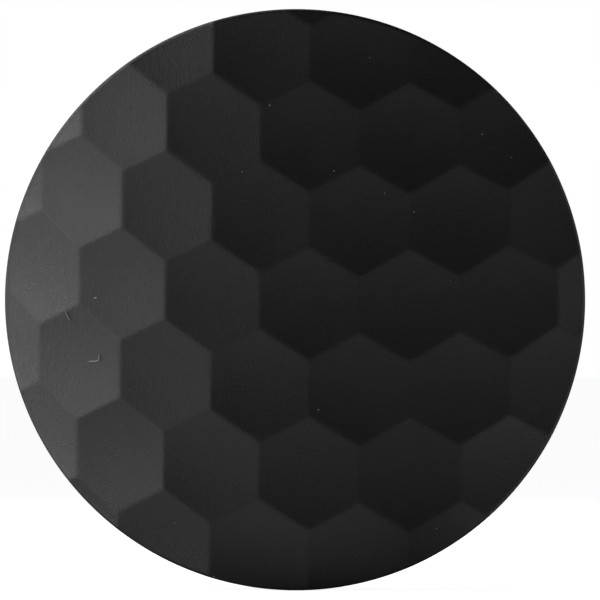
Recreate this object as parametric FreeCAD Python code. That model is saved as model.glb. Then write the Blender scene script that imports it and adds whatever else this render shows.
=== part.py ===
import FreeCAD, Part
import os
import math

os.makedirs("parts", exist_ok=True)
V = FreeCAD.Vector

# Crowned honeycomb grid for a round light head. Units are mm.
# The grid stands upright: its face looks along -Y, +Z is up, and the origin is
# the centre of the rear seat plane (y = 0). The spigot sits behind it, at y > 0.

# ---- cells -----------------------------------------------------------------
cell_pitch = 12.7            # across the flats of one cell (1/2 in)
cell_side = cell_pitch / math.sqrt(3.0)
row_step = 1.5 * cell_side
dish_depth = 0.60            # how far a cell's middle lies below its ridges
drum_r = 60.06               # the cell rows wrap round a drum of this radius
drum_x = 12.13               # where the drum's nearest line crosses the face
lead_s, lead_v = 2.294, 0.649    # centre of the lead cell along and down the drum
drum_tilt = math.radians(14.886)  # lean of the drum, which bends the rows down
drum_taper = -0.00123        # growth of the cells towards the far side, per mm
drum_z = -0.055

# ---- crown -----------------------------------------------------------------
crown_r = 60.06              # radius of the bowed front about an upright line
crown_x = 12.13              # the crest is off centre, towards +X
crest_y = -38.2              # the crest's distance in front of the seat
crown_axis_y = crest_y + crown_r

# ---- front cap -------------------------------------------------------------
cap_r = 36.73
cap_wall = 1.9               # ridge to inner face
cap_bore_r = 35.30
cap_back_y = -7.90

# ---- housing ---------------------------------------------------------------
barrel_r = 35.20
flange_r = 36.50
flange_front_y = -7.80
bore_r = 31.90
barrel_depth = 2.0           # front edge of the housing below the crown
lip_r = 30.80
lip_back = 3.0               # back of the lip below the crown
spigot_r = 33.40
spigot_len = 3.0             # straight length; a lead-in chamfer follows it
spigot_lead = 0.4
flange_chamfer = 0.3
flute_count = 60
flute_r = 0.45
groove_r = 32.80
groove_y0, groove_y1 = -2.90, -1.90
notch_half = 13.5            # half angle of each entry notch, degrees
lug_half = 12.0
lug_angles = (90.0, 210.0, 330.0)
lock_turn = 20.0             # turn from locked to the entry notch

# ---- magnets ---------------------------------------------------------------
magnet_r = 1.10
magnet_len = 2.0
magnet_pcr = 34.80
magnet_count = 8
magnet_sink = 0.05

# ---- core ------------------------------------------------------------------
hoop_r_out, hoop_r_in = 31.75, 31.15
core_clip_r = 31.10
core_depth = 3.05            # front of the core below the crown
core_back_y = -3.45
foil = 0.30
bond_gap = 0.005

# ---- felt and lock ring ----------------------------------------------------
felt_r_in, felt_r_out = 29.60, 31.75
felt_y0, felt_y1 = -3.40, -2.90
lock_r_out, lock_r_in = 31.70, 28.50
lock_y0, lock_y1 = -2.80, 2.60
lug_r = 32.60
lug_y0, lug_y1 = -2.80, -2.00
finger_count = 6
lock_chamfer = 0.4


def crown_y(x):
    return crown_axis_y - math.sqrt(crown_r ** 2 - (x - crown_x) ** 2)


def plan(s, v):
    """Face position (x, z) of the point s along and v down the drum."""
    th = s / drum_r
    x = drum_r * math.sin(th)
    d = -drum_r * (1.0 - math.cos(th))
    depth = d * math.cos(drum_tilt) - v * math.sin(drum_tilt)
    sc = 1.0 / (1.0 - drum_taper * depth)
    return (drum_x + x * sc,
            -(v * math.cos(drum_tilt) + d * math.sin(drum_tilt)) * sc + drum_z)


def rod(r, y0, y1):
    """Solid cylinder about Y from y0 to y1."""
    return Part.makeCylinder(r, y1 - y0, V(0, y0, 0), V(0, 1, 0))


def chamfered(r, y0, y1, front, back):
    """Solid cylinder about Y with 45 degree chamfers at its ends."""
    parts = [rod(r, y0 + front, y1 - back)]
    if front > 0:
        parts.append(Part.makeCone(r - front, r, front, V(0, y0, 0), V(0, 1, 0)))
    if back > 0:
        parts.append(Part.makeCone(r, r - back, back, V(0, y1 - back, 0), V(0, 1, 0)))
    return parts[0].fuse(parts[1:]).removeSplitter() if len(parts) > 1 else parts[0]


def ring(r_out, r_in, y0, y1):
    return rod(r_out, y0, y1).cut(rod(r_in, y0 - 1, y1 + 1))


def under_crown(depth):
    """Everything lying at least this far below the crown."""
    return Part.makeCylinder(crown_r - depth, 100, V(crown_x, crown_axis_y, -50), V(0, 0, 1))


def sector(r_in, r_out, y0, y1, a0, a1):
    """Ring piece between two angles, measured from +X towards +Z."""
    ao, am, az = [math.radians(q) for q in (a0, (a0 + a1) / 2.0, a1)]

    def pt(a, r):
        return V(r * math.cos(a), y0, r * math.sin(a))
    edges = [Part.Arc(pt(ao, r_out), pt(am, r_out), pt(az, r_out)).toShape(),
             Part.makeLine(pt(az, r_out), pt(az, r_in)),
             Part.Arc(pt(az, r_in), pt(am, r_in), pt(ao, r_in)).toShape(),
             Part.makeLine(pt(ao, r_in), pt(ao, r_out))]
    return Part.Face(Part.Wire(edges)).extrude(V(0, y1 - y0, 0))


def save(shape, name):
    shape = shape.removeSplitter() if name in ("housing_ring",) else shape
    print(name, "valid", shape.isValid(), "solids", len(shape.Solids),
          "faces", len(shape.Faces), "vol %.2f" % shape.Volume)
    shape.exportStep("parts/" + name + ".step")


# ---- front cap: rubber skin whose face is all shallow hexagonal dishes ------
def key(p):
    return (round(p[0], 5), round(p[1], 5))


faces = []
edge_use = {}
cells = []
for j in range(-7, 8):
    for i in range(-9, 6):
        s = lead_s + cell_pitch * (i + 0.5 * (j % 2))
        v = lead_v + row_step * j
        if abs(s / drum_r) > 1.38:
            continue
        cx, cz = plan(s, v)
        if math.hypot(cx, cz) > cap_r + 9.0:
            continue
        rim, mid = [], []
        for k in range(6):
            a = math.radians(60 * k + 30)
            ds, dv = cell_side * math.cos(a), cell_side * math.sin(a)
            rim.append(plan(s + ds, v + dv))
            mid.append(plan(s + 0.55 * ds, v + 0.55 * dv))
        cells.append((s, v, (cx, cz), rim, mid))

vert = {}


def vtx(p, sink):
    k3 = (key(p), round(sink, 4))
    if k3 not in vert:
        x, z = key(p)
        lean = math.sqrt(1.0 - ((x - crown_x) / crown_r) ** 2)
        vert[k3] = V(x, crown_y(x) + sink / lean, z)
    return vert[k3]


def tri(a, b, c):
    return Part.Face(Part.makePolygon([a, b, c, a]))


for s, v, c, rim, mid in cells:
    vc = vtx(c, dish_depth)
    vm = [vtx(p, dish_depth * (1 - 0.55 ** 2)) for p in mid]
    vr = [vtx(p, 0.0) for p in rim]
    for k in range(6):
        n = (k + 1) % 6
        faces.append(tri(vc, vm[k], vm[n]))
        faces.append(tri(vm[k], vr[k], vr[n]))
        faces.append(tri(vm[k], vr[n], vm[n]))
        e = tuple(sorted((key(rim[k]), key(rim[n]))))
        edge_use[e] = edge_use.get(e, 0) + 1

base_y = 30.0
border = [e for e, n in edge_use.items() if n == 1]
link = {}
for a, b in border:
    link.setdefault(a, []).append(b)
    link.setdefault(b, []).append(a)
start = border[0][0]
loop, prev, cur = [start], None, start
while True:
    nxt = [q for q in link[cur] if q != prev][0]
    if nxt == start:
        break
    loop.append(nxt)
    prev, cur = cur, nxt
base = [V(q[0], base_y, q[1]) for q in loop]
for k in range(len(loop)):
    n = (k + 1) % len(loop)
    a, b = vtx(loop[k], 0.0), vtx(loop[n], 0.0)
    faces.append(Part.Face(Part.makePolygon([a, b, base[n], base[k], a])))
faces.append(Part.Face(Part.makePolygon(base + [base[0]])))
shell = Part.makeShell(faces)
shell.sewShape()
block = Part.Solid(shell)
if block.Volume < 0:
    block.reverse()
print("dish block valid", block.isValid(), "cells", len(cells), "border", len(border), "loop", len(loop))
cap = block.common(rod(cap_r, -60, cap_back_y))
cap = cap.cut(under_crown(cap_wall).common(rod(cap_bore_r, -60, 0)))
save(cap, "front_cap")

# ---- housing: barrel, lip, fluted flange and spigot --------------------------
housing = rod(barrel_r, -60, flange_front_y + 0.5).common(under_crown(barrel_depth))
housing = housing.fuse([chamfered(flange_r, flange_front_y, 0, 0, flange_chamfer),
                        chamfered(spigot_r, -0.5, spigot_len + spigot_lead, 0, spigot_lead)])
inner = rod(bore_r, -60, 10).common(under_crown(lip_back))
housing = housing.cut(inner.fuse(rod(lip_r, -60, 10)))
cuts = []
for k in range(flute_count):
    a = 2 * math.pi * (k + 0.5) / flute_count
    cuts.append(Part.makeCylinder(flute_r, -flange_front_y - 2.4,
                                  V((flange_r + 0.15) * math.cos(a), flange_front_y + 1.2,
                                    (flange_r + 0.15) * math.sin(a)), V(0, 1, 0)))
housing = housing.cut(Part.makeCompound(cuts))
cuts = []
for a0 in lug_angles:
    cuts.append(sector(bore_r - 0.6, groove_r, groove_y0, groove_y1,
                       a0 - notch_half, a0 + lock_turn + notch_half))
    cuts.append(sector(bore_r - 0.6, groove_r, groove_y1 - 0.05, spigot_len + 1,
                       a0 - notch_half, a0 + notch_half))
housing = housing.cut(cuts[0].fuse(cuts[1:]))
cuts = []
for k in range(magnet_count):
    a = 2 * math.pi * (k + 0.5) / magnet_count
    cuts.append(Part.makeCylinder(magnet_r + 0.03, magnet_len + 0.15,
                                  V(magnet_pcr * math.cos(a), -magnet_len - 0.10,
                                    magnet_pcr * math.sin(a)), V(0, 1, 0)))
housing = housing.cut(Part.makeCompound(cuts))
save(housing, "housing_ring")

mags = []
for k in range(magnet_count):
    a = 2 * math.pi * (k + 0.5) / magnet_count
    mags.append(Part.makeCylinder(magnet_r, magnet_len,
                                  V(magnet_pcr * math.cos(a), -magnet_len - magnet_sink,
                                    magnet_pcr * math.sin(a)), V(0, 1, 0)))
save(Part.makeCompound(mags), "magnets")

# ---- core: a hoop and corrugated foil ribbons ---------------------------------
core_env = under_crown(core_depth)
hoop = rod(hoop_r_out, -50, core_back_y).cut(rod(hoop_r_in, -60, 0)).common(core_env)
save(hoop, "core_hoop")


def offset_line(pts, d):
    """Polyline moved sideways by d, with mitred corners."""
    out = []
    n = len(pts)
    for k in range(n):
        dirs = []
        for a, b in ((k - 1, k), (k, k + 1)):
            if a >= 0 and b < n:
                dx, dz = pts[b][0] - pts[a][0], pts[b][1] - pts[a][1]
                m = math.hypot(dx, dz)
                dirs.append((dx / m, dz / m))
        if len(dirs) == 1:
            nx, nz = -dirs[0][1], dirs[0][0]
            out.append((pts[k][0] + d * nx, pts[k][1] + d * nz))
        else:
            n0 = (-dirs[0][1], dirs[0][0])
            n1 = (-dirs[1][1], dirs[1][0])
            bx, bz = n0[0] + n1[0], n0[1] + n1[1]
            m2 = bx * bx + bz * bz
            out.append((pts[k][0] + d * 2 * bx / m2, pts[k][1] + d * 2 * bz / m2))
    return out


clip = rod(core_clip_r, -50, core_back_y).common(core_env)
number = 0
for c in range(-8, 3):
    line = []
    for j in range(-4, 5):
        on_left = (j + c) % 2 == 1
        s = lead_s + (c if on_left else c + 1) * cell_pitch / 2
        v = lead_v + row_step * j
        shift = (foil / 2 + bond_gap) * (1 if on_left else -1)
        for dv in (-cell_side / 2, cell_side / 2):
            x, z = plan(s, v + dv)
            line.append((x + shift, z))
    a = offset_line(line, foil / 2)
    b = offset_line(line, -foil / 2)
    poly = [V(x, -50, z) for x, z in a + b[::-1]]
    strip = Part.Face(Part.makePolygon(poly + [poly[0]])).extrude(V(0, 50, 0)).common(clip)
    big = sorted(strip.Solids, key=lambda q: -q.Volume)
    for piece in big:
        if piece.Volume > 8.0:
            number += 1
            save(piece, "ribbon_%02d" % number)

# ---- felt ring and bayonet lock ring --------------------------------------------
save(ring(felt_r_out, felt_r_in, felt_y0, felt_y1), "felt_ring")

lock = chamfered(lock_r_out, lock_y0, lock_y1, 0, lock_chamfer).cut(rod(lock_r_in, -10, 10))
lugs = [sector(lock_r_out - 1.0, lug_r, lug_y0, lug_y1,
               a0 + lock_turn - lug_half, a0 + lock_turn + lug_half) for a0 in lug_angles]
lock = lock.fuse(lugs)
cuts = []
for k in range(finger_count):
    a = 2 * math.pi * k / finger_count + math.radians(15)
    cuts.append(Part.makeCylinder(2.4, 3.0, V(28.0 * math.cos(a), 0.4, 28.0 * math.sin(a)), V(0, 1, 0)))
lock = lock.cut(Part.makeCompound(cuts))
save(lock, "lock_ring")
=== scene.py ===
import bpy
import math
import numpy as np
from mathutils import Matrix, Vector


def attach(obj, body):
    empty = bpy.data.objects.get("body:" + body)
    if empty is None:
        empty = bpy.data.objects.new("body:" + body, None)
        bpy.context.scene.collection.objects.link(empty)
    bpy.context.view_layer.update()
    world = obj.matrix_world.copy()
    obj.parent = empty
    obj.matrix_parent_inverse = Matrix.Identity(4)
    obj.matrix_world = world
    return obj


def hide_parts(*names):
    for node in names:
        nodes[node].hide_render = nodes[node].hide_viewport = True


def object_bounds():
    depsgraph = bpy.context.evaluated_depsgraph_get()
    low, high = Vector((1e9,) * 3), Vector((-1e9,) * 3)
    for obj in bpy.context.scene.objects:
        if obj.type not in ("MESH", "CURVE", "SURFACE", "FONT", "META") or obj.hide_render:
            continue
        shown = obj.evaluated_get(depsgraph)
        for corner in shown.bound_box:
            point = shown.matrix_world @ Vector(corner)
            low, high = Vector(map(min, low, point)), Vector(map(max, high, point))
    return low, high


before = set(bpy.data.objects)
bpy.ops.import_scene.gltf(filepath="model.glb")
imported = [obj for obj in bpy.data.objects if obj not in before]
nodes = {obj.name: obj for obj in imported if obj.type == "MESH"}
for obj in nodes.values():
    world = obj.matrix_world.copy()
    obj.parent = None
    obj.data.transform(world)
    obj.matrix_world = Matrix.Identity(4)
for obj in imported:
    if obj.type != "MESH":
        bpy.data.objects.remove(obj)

cad_lo, cad_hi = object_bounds()
MM = 0.001

# ---------------------------------------------------------------- layout (mm)
PITCH = 12.7
SIDE = PITCH / math.sqrt(3.0)
STEP = 1.5 * SIDE
DRUM_R, DRUM_X = 60.06, 12.13
LEAD_S, LEAD_V = 2.294, 0.649
TILT = math.radians(14.886)
TAPER = -0.00123
DRUM_Z = -0.055
CROWN_R, CROWN_X = 60.06, 12.13
CREST_Y = -38.2
AXIS_Y = CREST_Y + CROWN_R
CAP_R, CAP_BORE_R = 36.73, 35.30
CAP_WALL = 1.9
CAP_BACK_Y = -7.90
DISH = 0.60
RIDGE_SOFT = 0.02
DISH_FLAT = 0.0                   # 0 is a plain bowl; more flattens its middle


def crown_y(x, inset=0.0):
    return AXIS_Y - np.sqrt(np.maximum((CROWN_R - inset) ** 2 - (x - CROWN_X) ** 2, 1e-6))


def unroll(x, z):
    """Face position (x, z) to (s, v) on the drum the cells wrap round."""
    sc = np.ones_like(x)
    for _ in range(8):
        th = np.arcsin(np.clip((x - DRUM_X) / sc / DRUM_R, -0.9999, 0.9999))
        d = -DRUM_R * (1.0 - np.cos(th))
        v = (-(z - DRUM_Z) / sc - d * math.sin(TILT)) / math.cos(TILT)
        depth = d * math.cos(TILT) - v * math.sin(TILT)
        sc = 1.0 / (1.0 - TAPER * depth)
    return th * DRUM_R, v


def dish(x, z):
    """Depth of the dishes below the crown, ridges softly rounded."""
    s, v = unroll(x, z)
    j0 = np.round((v - LEAD_V) / STEP)
    acc = np.zeros_like(x)
    for dj in (-1, 0, 1):
        j = j0 + dj
        off = LEAD_S + PITCH * 0.5 * np.mod(j, 2)
        i0 = np.round((s - off) / PITCH)
        for di in (-1, 0, 1):
            cs = off + PITCH * (i0 + di)
            cv = LEAD_V + STEP * j
            r2 = (s - cs) ** 2 + (v - cv) ** 2
            q = r2 / SIDE ** 2
            bowl = 1.0 - (1.0 - DISH_FLAT) * q - DISH_FLAT * q * q
            acc += np.exp(np.maximum(DISH * bowl, -0.8) / RIDGE_SOFT)
    return RIDGE_SOFT * np.log(acc)


def mesh_object(name, verts, faces, smooth=True):
    me = bpy.data.meshes.new(name)
    me.from_pydata([tuple(p) for p in np.asarray(verts) * MM], [], faces)
    me.validate()
    me.polygons.foreach_set("use_smooth", [smooth] * len(me.polygons))
    me.update()
    ob = bpy.data.objects.new(name, me)
    bpy.context.scene.collection.objects.link(ob)
    return ob


# ---------------------------------------------------------------- camera first
cam_data = bpy.data.cameras.new("camera")
cam_data.type = "PERSP"
cam_data.sensor_width = 36.0
cam_data.lens = 1400.0
cam_data.clip_start, cam_data.clip_end = 0.05, 20.0
cam = bpy.data.objects.new("camera", cam_data)
bpy.context.scene.collection.objects.link(cam)
CAM_TURN = math.radians(0.6)
CAM_DIST = 2.946
cam.location = (0.575 * MM - CAM_DIST * math.sin(CAM_TURN), CREST_Y * MM - CAM_DIST * math.cos(CAM_TURN), -0.035 * MM)
cam.rotation_euler = (math.pi / 2, 0, -CAM_TURN)
bpy.context.scene.camera = cam


# ---------------------------------------------------------------- node helpers
def new_mat(name):
    m = bpy.data.materials.new(name)
    m.use_nodes = True
    nt = m.node_tree
    nt.nodes.clear()
    out = nt.nodes.new("ShaderNodeOutputMaterial")
    bsdf = nt.nodes.new("ShaderNodeBsdfPrincipled")
    nt.links.new(bsdf.outputs["BSDF"], out.inputs["Surface"])
    tc = nt.nodes.new("ShaderNodeTexCoord")
    mp = nt.nodes.new("ShaderNodeMapping")
    mp.inputs["Scale"].default_value = (1000, 1000, 1000)
    nt.links.new(tc.outputs["Object"], mp.inputs["Vector"])
    return m, nt, bsdf, mp.outputs["Vector"]


def stretch(nt, vec, scale, rot=(0, 0, 0)):
    n = nt.nodes.new("ShaderNodeMapping")
    n.inputs["Scale"].default_value = scale
    n.inputs["Rotation"].default_value = rot
    nt.links.new(vec, n.inputs["Vector"])
    return n.outputs["Vector"]


def noise(nt, vec, scale, detail=2.0, rough=0.5, dist=0.0):
    n = nt.nodes.new("ShaderNodeTexNoise")
    n.inputs["Scale"].default_value = scale
    n.inputs["Detail"].default_value = detail
    n.inputs["Roughness"].default_value = rough
    n.inputs["Distortion"].default_value = dist
    nt.links.new(vec, n.inputs["Vector"])
    return n.outputs["Fac"]


def ramp(nt, fac, stops):
    n = nt.nodes.new("ShaderNodeValToRGB")
    els = n.color_ramp.elements
    els[0].position, els[0].color = stops[0][0], stops[0][1]
    els[1].position, els[1].color = stops[-1][0], stops[-1][1]
    for p, c in stops[1:-1]:
        e = els.new(p)
        e.color = c
    nt.links.new(fac, n.inputs["Fac"])
    return n.outputs["Color"]


def grey(v, tint=0.0):
    return (v, v, v * (1 + tint), 1)


def remap(nt, fac, a, b, c, d):
    n = nt.nodes.new("ShaderNodeMapRange")
    n.inputs["From Min"].default_value = a
    n.inputs["From Max"].default_value = b
    n.inputs["To Min"].default_value = c
    n.inputs["To Max"].default_value = d
    nt.links.new(fac, n.inputs["Value"])
    return n.outputs["Result"]


def math_node(nt, op, a, b=None):
    n = nt.nodes.new("ShaderNodeMath")
    n.operation = op
    for k, v in enumerate((a, b)):
        if v is None:
            continue
        if isinstance(v, (int, float)):
            n.inputs[k].default_value = v
        else:
            nt.links.new(v, n.inputs[k])
    return n.outputs[0]


def mix_col(nt, fac, a, b):
    n = nt.nodes.new("ShaderNodeMix")
    n.data_type = "RGBA"
    if isinstance(fac, (int, float)):
        n.inputs["Factor"].default_value = fac
    else:
        nt.links.new(fac, n.inputs["Factor"])
    for sock, v in ((n.inputs[6], a), (n.inputs[7], b)):
        if isinstance(v, tuple):
            sock.default_value = v
        else:
            nt.links.new(v, sock)
    return n.outputs[2]


def bump(nt, height, strength, distance, normal=None):
    n = nt.nodes.new("ShaderNodeBump")
    n.inputs["Strength"].default_value = strength
    n.inputs["Distance"].default_value = distance
    nt.links.new(height, n.inputs["Height"])
    if normal is not None:
        nt.links.new(normal, n.inputs["Normal"])
    return n.outputs["Normal"]


# ---------------------------------------------------------------- materials
def rubber():
    m, nt, b, vec = new_mat("cap_rubber")
    L = nt.links
    cloud = noise(nt, vec, 0.09, 3.0, 0.55)
    grain = noise(nt, vec, 4.5, 3.0, 0.6)
    fine = noise(nt, vec, 11.0, 2.0, 0.55)
    base = ramp(nt, cloud, [(0.30, grey(0.0130)), (0.55, grey(0.0150)), (0.75, grey(0.0172))])
    base = mix_col(nt, remap(nt, grain, 0.35, 0.7, 0.0, 0.5), base, grey(0.020))
    # rub marks, longer than they are wide, where the face turns away
    sep = nt.nodes.new("ShaderNodeSeparateXYZ")
    L.new(vec, sep.inputs[0])
    px = math_node(nt, "DIVIDE", math_node(nt, "ADD", sep.outputs["X"], 31.5), 7.0)
    pz = math_node(nt, "DIVIDE", math_node(nt, "ADD", sep.outputs["Z"], 1.5), 13.0)
    far = math_node(nt, "ADD", math_node(nt, "MULTIPLY", px, px), math_node(nt, "MULTIPLY", pz, pz))
    zone = remap(nt, far, 0.15, 1.3, 1.0, 0.0)
    streak = noise(nt, stretch(nt, vec, (1.0, 0.25, 0.22), (0, math.radians(35), 0)), 2.6, 4.0, 0.65, 0.4)
    fleck = noise(nt, stretch(nt, vec, (1.0, 0.3, 0.9), (0, math.radians(-28), 0)), 3.4, 3.0, 0.7)
    rub = math_node(nt, "MULTIPLY", remap(nt, streak, 0.46, 0.70, 0.0, 1.0), remap(nt, fleck, 0.40, 0.65, 0.25, 1.0))
    rub = math_node(nt, "MULTIPLY", rub, zone)
    base = mix_col(nt, math_node(nt, "MULTIPLY", rub, 0.45), base, grey(0.060))
    # painted shade: the rounded rim is turned near black and rougher, standing in for the dark shaded edge line round
    # the face
    rim = nt.nodes.new("ShaderNodeAttribute")
    rim.attribute_name = "rim"
    base = mix_col(nt, math_node(nt, "MULTIPLY", rim.outputs["Fac"], 0.85), base, grey(0.002))
    L.new(base, b.inputs["Base Color"])
    r0 = remap(nt, cloud, 0.3, 0.75, 0.37, 0.43)
    r1 = remap(nt, grain, 0.3, 0.7, -0.05, 0.05)
    rr = math_node(nt, "ADD", r0, r1)
    rr = math_node(nt, "ADD", rr, math_node(nt, "MULTIPLY", rub, 0.10))
    L.new(math_node(nt, "ADD", rr, math_node(nt, "MULTIPLY", rim.outputs["Fac"], 0.45)), b.inputs["Roughness"])
    b.inputs["IOR"].default_value = 1.48
    mottle = noise(nt, vec, 2.1, 3.0, 0.6)
    n1 = bump(nt, fine, 0.60, 0.00003)
    n1 = bump(nt, grain, 0.75, 0.00005, n1)
    n1 = bump(nt, mottle, 0.40, 0.00005, n1)
    n2 = bump(nt, rub, 0.55, 0.00006, n1)
    L.new(n2, b.inputs["Normal"])
    return m


def lint(name, lo_, hi_):
    m, nt, b, vec = new_mat(name)
    L = nt.links
    n = noise(nt, vec, 6.0, 3.0, 0.6)
    L.new(ramp(nt, n, [(0.3, grey(lo_)), (0.5, grey((lo_ + hi_) / 2)), (0.75, grey(hi_))]), b.inputs["Base Color"])
    L.new(remap(nt, n, 0.3, 0.7, 0.75, 0.95), b.inputs["Roughness"])
    L.new(bump(nt, n, 0.4, 0.00003), b.inputs["Normal"])
    return m


def plastic(name, v, rough, grain_scale, lines=False):
    m, nt, b, vec = new_mat(name)
    L = nt.links
    cloud = noise(nt, vec, 0.12, 3.0)
    grain = noise(nt, vec, grain_scale, 2.0, 0.6)
    base = ramp(nt, cloud, [(0.3, grey(v * 0.85)), (0.55, grey(v)), (0.78, grey(v * 1.2, 0.03))])
    base = mix_col(nt, remap(nt, grain, 0.45, 0.75, 0.0, 0.35), base, grey(v * 1.7))
    L.new(base, b.inputs["Base Color"])
    rr = remap(nt, grain, 0.3, 0.7, rough - 0.06, rough + 0.06)
    L.new(rr, b.inputs["Roughness"])
    b.inputs["IOR"].default_value = 1.5
    nrm = bump(nt, grain, 0.35, 0.00004)
    if lines:
        w = nt.nodes.new("ShaderNodeTexWave")
        w.wave_type = "BANDS"
        w.bands_direction = "Y"
        w.inputs["Scale"].default_value = 2.4
        w.inputs["Distortion"].default_value = 0.3
        L.new(vec, w.inputs["Vector"])
        nrm = bump(nt, w.outputs["Fac"], 0.06, 0.00002, nrm)
    L.new(nrm, b.inputs["Normal"])
    return m


def foil():
    m, nt, b, vec = new_mat("core_foil")
    L = nt.links
    roll = noise(nt, stretch(nt, vec, (1.0, 0.06, 1.0)), 3.5, 4.0, 0.65)
    cloud = noise(nt, vec, 0.2, 2.0)
    base = ramp(nt, roll, [(0.30, grey(0.030, 0.06)), (0.55, grey(0.045, 0.06)), (0.75, grey(0.075, 0.05))])
    base = mix_col(nt, remap(nt, cloud, 0.35, 0.7, 0.0, 0.4), base, grey(0.035, 0.1))
    L.new(base, b.inputs["Base Color"])
    b.inputs["Metallic"].default_value = 0.6
    L.new(remap(nt, roll, 0.3, 0.7, 0.34, 0.48), b.inputs["Roughness"])
    L.new(bump(nt, roll, 0.25, 0.00004), b.inputs["Normal"])
    return m


def nickel():
    m, nt, b, vec = new_mat("magnet_nickel")
    L = nt.links
    spin = noise(nt, vec, 6.0, 3.0, 0.6)
    cloud = noise(nt, vec, 0.6, 2.0)
    base = ramp(nt, cloud, [(0.3, (0.50, 0.49, 0.46, 1)), (0.7, (0.66, 0.65, 0.62, 1))])
    base = mix_col(nt, remap(nt, spin, 0.5, 0.8, 0.0, 0.4), base, (0.38, 0.37, 0.35, 1))
    L.new(base, b.inputs["Base Color"])
    b.inputs["Metallic"].default_value = 1.0
    L.new(remap(nt, spin, 0.3, 0.7, 0.20, 0.36), b.inputs["Roughness"])
    L.new(bump(nt, spin, 0.12, 0.00002), b.inputs["Normal"])
    return m


def felt():
    m, nt, b, vec = new_mat("felt_black")
    L = nt.links
    fib = noise(nt, stretch(nt, vec, (1.0, 3.0, 1.0)), 5.0, 5.0, 0.7, 1.5)
    fine = noise(nt, vec, 16.0, 3.0, 0.7)
    base = ramp(nt, fib, [(0.30, grey(0.010)), (0.55, grey(0.024)), (0.80, grey(0.060))])
    base = mix_col(nt, remap(nt, fine, 0.5, 0.8, 0.0, 0.5), base, grey(0.05))
    L.new(base, b.inputs["Base Color"])
    L.new(remap(nt, fib, 0.3, 0.7, 0.85, 1.0), b.inputs["Roughness"])
    b.inputs["Sheen Weight"].default_value = 0.4
    b.inputs["Sheen Roughness"].default_value = 0.5
    n1 = bump(nt, fine, 0.5, 0.00008)
    L.new(bump(nt, fib, 0.7, 0.00015, n1), b.inputs["Normal"])
    return m


RUBBER, HOUSING = rubber(), plastic("housing_plastic", 0.022, 0.52, 5.5)
LOCK, FOIL, NICKEL, FELT = plastic("lock_plastic", 0.034, 0.42, 3.0, True), foil(), nickel(), felt()


def paint(ob, mat):
    if ob.material_slots:
        for s in ob.material_slots:
            s.link = "DATA"
            s.material = mat
    else:
        ob.data.materials.append(mat)


for n, ob in nodes.items():
    if n.startswith("ribbon_") or n == "core_hoop":
        paint(ob, FOIL)
paint(nodes["housing_ring"], HOUSING)
paint(nodes["lock_ring"], LOCK)
paint(nodes["magnets"], NICKEL)
paint(nodes["front_cap"], RUBBER)
paint(nodes["felt_ring"], FELT)


# ---------------------------------------------------------------- cap skin
def disc_grid(n):
    """Unit disc as an (n+1) x (n+1) grid whose outer loop lies on the circle."""
    u = np.linspace(-1, 1, n + 1)
    a, b = np.meshgrid(u, u, indexing="xy")
    r = np.maximum(np.abs(a), np.abs(b))
    # concentric square-to-disc map
    phi = np.where(np.abs(a) >= np.abs(b),
                   math.pi / 4 * np.divide(b, a, out=np.zeros_like(a), where=np.abs(a) > 1e-12),
                   math.pi / 2 - math.pi / 4 * np.divide(a, b, out=np.zeros_like(a), where=np.abs(b) > 1e-12))
    rad = np.where(np.abs(a) >= np.abs(b), a, b)
    return rad * np.cos(phi), rad * np.sin(phi)


def outer_loop(n):
    """Grid indices of the outer loop, counter-clockwise seen from -Y."""
    w = n + 1
    loop = [i for i in range(n)]
    loop += [i * w + n for i in range(n)]
    loop += [n * w + i for i in range(n, 0, -1)]
    loop += [i * w for i in range(n, 0, -1)]
    return loop


N, NC = ((270, 54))
EDGE = 0.38                       # rounding of the rim
gx, gz = disc_grid(N)
R0 = CAP_R - EDGE
X, Z = (gx * R0).ravel(), (gz * R0).ravel()
lean = np.sqrt(1.0 - ((X - CROWN_X) / CROWN_R) ** 2)
Y = crown_y(X) + dish(X, Z) / lean
verts = [np.stack([X, Y, Z], 1)]
w = N + 1
faces = []
for r in range(N):
    for c in range(N):
        k = r * w + c
        faces.append((k, k + 1, k + w + 1, k + w))
loop = outer_loop(N)
count = w * w
LX, LZ = gx.ravel()[loop], gz.ravel()[loop]
nrm = np.hypot(LX, LZ)
LX, LZ = LX / nrm, LZ / nrm


def rim_y(radius):
    x, z = LX * radius, LZ * radius
    le = np.sqrt(1.0 - ((x - CROWN_X) / CROWN_R) ** 2)
    return crown_y(x) + dish(x, z) / le


prev = loop
M = len(loop)


def add_ring(radius, y):
    """Joins one more ring of the same count to the last one."""
    global count, prev
    y = np.broadcast_to(y, (M,))
    verts.append(np.stack([LX * radius, y, LZ * radius], 1))
    cur = list(range(count, count + M))
    count += M
    for k in range(M):
        n = (k + 1) % M
        faces.append((prev[n], prev[k], cur[k], cur[n]))
    prev = cur


y_edge = rim_y(R0)
# the rounding rings built next carry the mask for the painted shade on the rim
rim_shade_from = count + 2 * M
for t in (15, 32, 50, 70, 90):
    a = math.radians(t)
    rr = R0 + EDGE * math.sin(a)
    add_ring(rr, y_edge + (rim_y(rr) - y_edge) * 0.6 + EDGE * (1 - math.cos(a)))
rim_shade_to = count
y_top = y_edge + (rim_y(CAP_R) - y_edge) * 0.6 + EDGE
add_ring(CAP_R, y_top + 0.5)
for f in (0.2, 0.5, 0.8):
    add_ring(CAP_R, y_top + 0.5 + (CAP_BACK_Y - 0.85 - y_top) * f)
for rr, dy in ((CAP_R, -0.35), (CAP_R - 0.12, -0.10), (CAP_R - 0.40, 0.0),
               (CAP_BORE_R + 0.30, 0.0), (CAP_BORE_R + 0.07, -0.08), (CAP_BORE_R, -0.30)):
    add_ring(rr, CAP_BACK_Y + dy)

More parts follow.
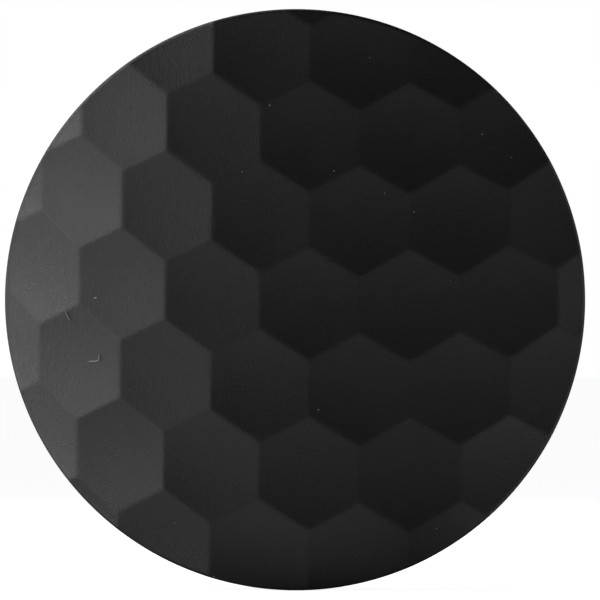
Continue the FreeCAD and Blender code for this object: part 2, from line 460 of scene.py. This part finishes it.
# inside: bore and domed underside, on a coarser grid
cx, cz = disc_grid(NC)
cl = outer_loop(NC)
ratio = N // NC
CXl, CZl = cx.ravel()[cl], cz.ravel()[cl]
cn = np.hypot(CXl, CZl)
CXl, CZl = CXl / cn, CZl / cn
MC = len(cl)
ring0 = list(range(count, count + MC))
verts.append(np.stack([CXl * CAP_BORE_R, np.full(MC, CAP_BACK_Y - 0.9), CZl * CAP_BORE_R], 1))
count += MC
for k in range(MC):
    n = (k + 1) % MC
    half = ratio // 2
    for q in range(ratio):
        a, b = prev[(k * ratio + q) % M], prev[(k * ratio + q + 1) % M]
        tip = ring0[k] if q < half else ring0[n]
        faces.append((b, a, tip))
        if q == half:
            faces.append((prev[(k * ratio + q) % M], ring0[k], ring0[n]))
last = ring0


def add_coarse(radius, y):
    global count, last
    y = np.broadcast_to(y, (MC,))
    verts.append(np.stack([CXl * radius, y, CZl * radius], 1))
    cur = list(range(count, count + MC))
    count += MC
    for k in range(MC):
        n = (k + 1) % MC
        faces.append((last[n], last[k], cur[k], cur[n]))
    last = cur


yi = crown_y(CXl * CAP_BORE_R, CAP_WALL)
for f in (0.35, 0.7):
    add_coarse(CAP_BORE_R, CAP_BACK_Y - 0.9 + (yi + 0.5 - CAP_BACK_Y + 0.9) * f)
add_coarse(CAP_BORE_R, yi + 0.06)
add_coarse(CAP_BORE_R - 0.01, yi + 0.02)
RI = CAP_BORE_R - 0.04
UX, UZ = (cx * RI).ravel(), (cz * RI).ravel()
base = count
verts.append(np.stack([UX, crown_y(UX, CAP_WALL), UZ], 1))
count += len(UX)
wc = NC + 1
for r in range(NC):
    for c in range(NC):
        k = base + r * wc + c
        faces.append((k, k + wc, k + wc + 1, k + 1))
for k in range(MC):
    n = (k + 1) % MC
    faces.append((last[n], last[k], base + cl[k], base + cl[n]))
skin = mesh_object("cap_skin", np.concatenate(verts), faces)
skin.data.materials.append(RUBBER)
# mask for the painted shade: 1 on the rounded rim rings, which cap_rubber darkens to near black
rim_shade_att = skin.data.attributes.new("rim", "FLOAT", "POINT")
rim_shade_val = np.zeros(count, np.float32)
rim_shade_val[rim_shade_from:rim_shade_to] = 1.0
rim_shade_att.data.foreach_set("value", rim_shade_val)
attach(skin, "cap")
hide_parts("front_cap")

# ---------------------------------------------------------------- dust and lint
def face_point(x, z, lift):
    """Point on the dished face, lifted off it towards the front."""
    xa, za = np.array([x], float), np.array([z], float)
    le = math.sqrt(1.0 - ((x - CROWN_X) / CROWN_R) ** 2)
    return Vector((x, float((crown_y(xa) + dish(xa, za) / le)[0]) - lift / le, z))


dv, df = [], []
drng = np.random.default_rng(11)


def speck(x, z, r):
    """One squashed, uneven grain of dust."""
    c = face_point(x, z, r * 0.35)
    k0 = len(dv)
    rows, cols = 5, 8
    for i in range(rows + 1):
        la = math.pi * i / rows
        for j in range(cols):
            lo_ = 2 * math.pi * j / cols
            q = r * (1.0 + drng.uniform(-0.18, 0.18) * math.sin(la))
            dv.append((c.x + q * math.sin(la) * math.cos(lo_), c.y - 0.5 * q * math.cos(la),
                       c.z + q * 0.8 * math.sin(la) * math.sin(lo_)))
    for i in range(rows):
        for j in range(cols):
            n = (j + 1) % cols
            df.append((k0 + i * cols + j, k0 + i * cols + n, k0 + (i + 1) * cols + n, k0 + (i + 1) * cols + j))


def fibre(pts, r):
    """A short lint fibre lying on the face."""
    line = []
    for (x0, z0), (x1, z1) in zip(pts[:-1], pts[1:]):
        for t in range(5):
            line.append((x0 + (x1 - x0) * t / 5, z0 + (z1 - z0) * t / 5))
    line.append(pts[-1])
    k0, sides = len(dv), 6
    n = len(line)
    for i, (x, z) in enumerate(line):
        c = face_point(x, z, r * 1.3)
        p, q = line[max(i - 1, 0)], line[min(i + 1, n - 1)]
        t = Vector((q[0] - p[0], 0, q[1] - p[1])).normalized()
        u = Vector((-t.z, 0, t.x))
        rr = r * (0.45 if i in (0, n - 1) else 1.0)
        for j in range(sides):
            a = 2 * math.pi * j / sides
            dv.append(tuple(c + u * (rr * math.cos(a)) + Vector((0, rr * math.sin(a), 0))))
    for i in range(n - 1):
        for j in range(sides):
            m = (j + 1) % sides
            df.append((k0 + i * sides + j, k0 + i * sides + m, k0 + (i + 1) * sides + m, k0 + (i + 1) * sides + j))
    df.append(tuple(k0 + j for j in range(sides)))
    df.append(tuple(k0 + (n - 1) * sides + j for j in reversed(range(sides))))


for x, z, r in ((-3.2, 24.6, 0.15), (-6.7, 16.2, 0.13), (4.9, 16.3, 0.14), (23.6, 20.9, 0.13),
                (11.3, 13.5, 0.11), (15.0, 11.1, 0.12), (2.9, -13.9, 0.14), (17.8, -28.9, 0.11),
                (-15.2, -28.3, 0.12), (-10.2, -35.0, 0.13), (27.3, 18.0, 0.10), (14.0, -15.6, 0.10),
                (-17.3, 22.8, 0.10), (9.4, 30.6, 0.10), (-21.0, -11.4, 0.09), (19.6, 2.4, 0.09)):
    speck(x, z, r)
dust = mesh_object("dust_specks", dv, df)
dust.data.materials.append(lint("dust", 0.10, 0.34))
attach(dust, "cap")
dv, df = [], []
fibre([(-29.05, -1.45), (-28.75, -2.1), (-28.45, -2.6)], 0.06)
fibre([(-26.1, -7.85), (-25.2, -7.8), (-24.8, -7.65), (-24.72, -6.95)], 0.065)
fibre([(-25.45, 0.22), (-25.05, 0.24)], 0.07)
fluff = mesh_object("lint_fibres", dv, df)
fluff.data.materials.append(lint("lint", 0.32, 0.46))
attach(fluff, "cap")

# ---------------------------------------------------------------- felt ring
rng = np.random.default_rng(7)
segs, prof = 540, []
r_in, r_out, f0, f1, rd = 29.60, 31.72, -3.38, -2.92, 0.14
for ccx, ccy, a0 in ((r_out - rd, f0 + rd, -90), (r_out - rd, f1 - rd, 0),
                     (r_in + rd, f1 - rd, 90), (r_in + rd, f0 + rd, 180)):
    for q in range(4):
        a = math.radians(a0 + 30 * q)
        prof.append((ccx + rd * math.cos(a), ccy + rd * math.sin(a)))
fv, ff = [], []
P = len(prof)
wob = rng.normal(0, 0.018, (segs, P))
wob = (wob + np.roll(wob, 1, 0) + np.roll(wob, -1, 0)) / 2.2
wob = np.clip(wob, -0.05, 0.02)
for i in range(segs):
    a = 2 * math.pi * i / segs
    for k, (rr, yy) in enumerate(prof):
        q = rr + (wob[i, k] if rr > 30.6 else -wob[i, k]) * 0.8
        fv.append((q * math.cos(a), yy + wob[i, k] * 0.4, q * math.sin(a)))
for i in range(segs):
    for k in range(P):
        n, kk = (i + 1) % segs, (k + 1) % P
        ff.append((i * P + k, i * P + kk, n * P + kk, n * P + k))
feltp = mesh_object("felt_pad", fv, ff)
feltp.data.materials.append(FELT)
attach(feltp, "housing")
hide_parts("felt_ring")

# ---------------------------------------------------------------- stage
scene = bpy.context.scene
scene.view_settings.view_transform = "Standard"
scene.view_settings.look = "None"


def white_stage(name):
    """Pale stage surface: bright to look at, dimmer as a light source."""
    m = bpy.data.materials.new(name)
    m.use_nodes = True
    nt = m.node_tree
    nt.nodes.clear()
    out = nt.nodes.new("ShaderNodeOutputMaterial")
    em = nt.nodes.new("ShaderNodeEmission")
    lp = nt.nodes.new("ShaderNodeLightPath")
    mr = nt.nodes.new("ShaderNodeMapRange")
    mr.inputs["To Min"].default_value = FLOOR_GLOW
    mr.inputs["To Max"].default_value = 0.95
    nt.links.new(lp.outputs["Is Camera Ray"], mr.inputs["Value"])
    nt.links.new(mr.outputs["Result"], em.inputs["Strength"])
    df = nt.nodes.new("ShaderNodeBsdfDiffuse")
    df.inputs["Color"].default_value = (0.25, 0.25, 0.25, 1)
    ad = nt.nodes.new("ShaderNodeAddShader")
    nt.links.new(em.outputs[0], ad.inputs[0])
    nt.links.new(df.outputs[0], ad.inputs[1])
    nt.links.new(ad.outputs[0], out.inputs["Surface"])
    return m


FLOOR_GLOW = 0.055
WORLD_AMBIENT = 0.05359
floor_me = bpy.data.meshes.new("floor")
S = 8.0
fz = cad_lo.z - 0.00002
floor_me.from_pydata([(-S, -S, fz), (S, -S, fz), (S, S, fz), (-S, S, fz)], [], [(0, 1, 2, 3)])
floor = bpy.data.objects.new("floor", floor_me)
scene.collection.objects.link(floor)
floor_me.materials.append(white_stage("floor_white"))

world = bpy.data.worlds.new("world")
scene.world = world
world.use_nodes = True
wn = world.node_tree
wn.nodes.clear()
wo = wn.nodes.new("ShaderNodeOutputWorld")
bg = wn.nodes.new("ShaderNodeBackground")
lp = wn.nodes.new("ShaderNodeLightPath")
mr = wn.nodes.new("ShaderNodeMapRange")
mr.inputs["To Min"].default_value = WORLD_AMBIENT
mr.inputs["To Max"].default_value = 1.0
wn.links.new(lp.outputs["Is Camera Ray"], mr.inputs["Value"])
wn.links.new(mr.outputs["Result"], bg.inputs["Strength"])
bg.inputs["Color"].default_value = (1, 1, 1, 1)
wn.links.new(bg.outputs[0], wo.inputs["Surface"])


def area(name, loc, target, size, size_y, power):
    d = bpy.data.lights.new(name, "AREA")
    d.shape = "RECTANGLE"
    d.size, d.size_y = size, size_y
    d.energy = power
    o = bpy.data.objects.new(name, d)
    scene.collection.objects.link(o)
    o.location = loc
    o.rotation_euler = (Vector(target) - Vector(loc)).to_track_quat("-Z", "Y").to_euler()
    o.visible_camera = False
    return o


def polar(az, el, dist):
    """Point at azimuth az (0 in front, 90 at +X) and elevation el, metres."""
    a, e = math.radians(az), math.radians(el)
    return (dist * math.sin(a) * math.cos(e), -dist * math.cos(a) * math.cos(e), dist * math.sin(e))


AIM = (0, -0.025, 0)
area("back_soft", polar(180, 42, 1.0), (0, 0, 0), 0.8, 0.8, 3.5)
area("side_soft", polar(132, 18, 1.0), (0, 0, 0), 0.5, 0.5, 3.0)
for k, (az, el, power) in enumerate((
        (-120, 45, 3.992),
        (-115, 25, 3.153),
        (-100, 3, 0.6598),
        (-85, 12, 0.5851),
        (-70, 12, 0.5382),
        (80, 3, 0.9101))):
    area("panel_%02d" % k, polar(az, el, 0.9), AIM, 0.28, 0.28, power)
for k, (x, y, power) in enumerate((
        (-0.8, -0.06, 3.224),
        (-0.2, -0.09, 0.06197),
        (-0.13, 0.06, 0.06732),
        (-0.08, -0.09, 0.009499),
        (-0.03, -0.06, 0.003999),
        (0.02, -0.16, 0.01233),
        (0.07, -0.06, 0.008203))):
    size = 0.20 if x < -0.4 else 0.08
    area("card_%02d" % k, (x, y, -0.0364), (x, y, 1.0), size, 0.03 if y == -0.06 else size, power)
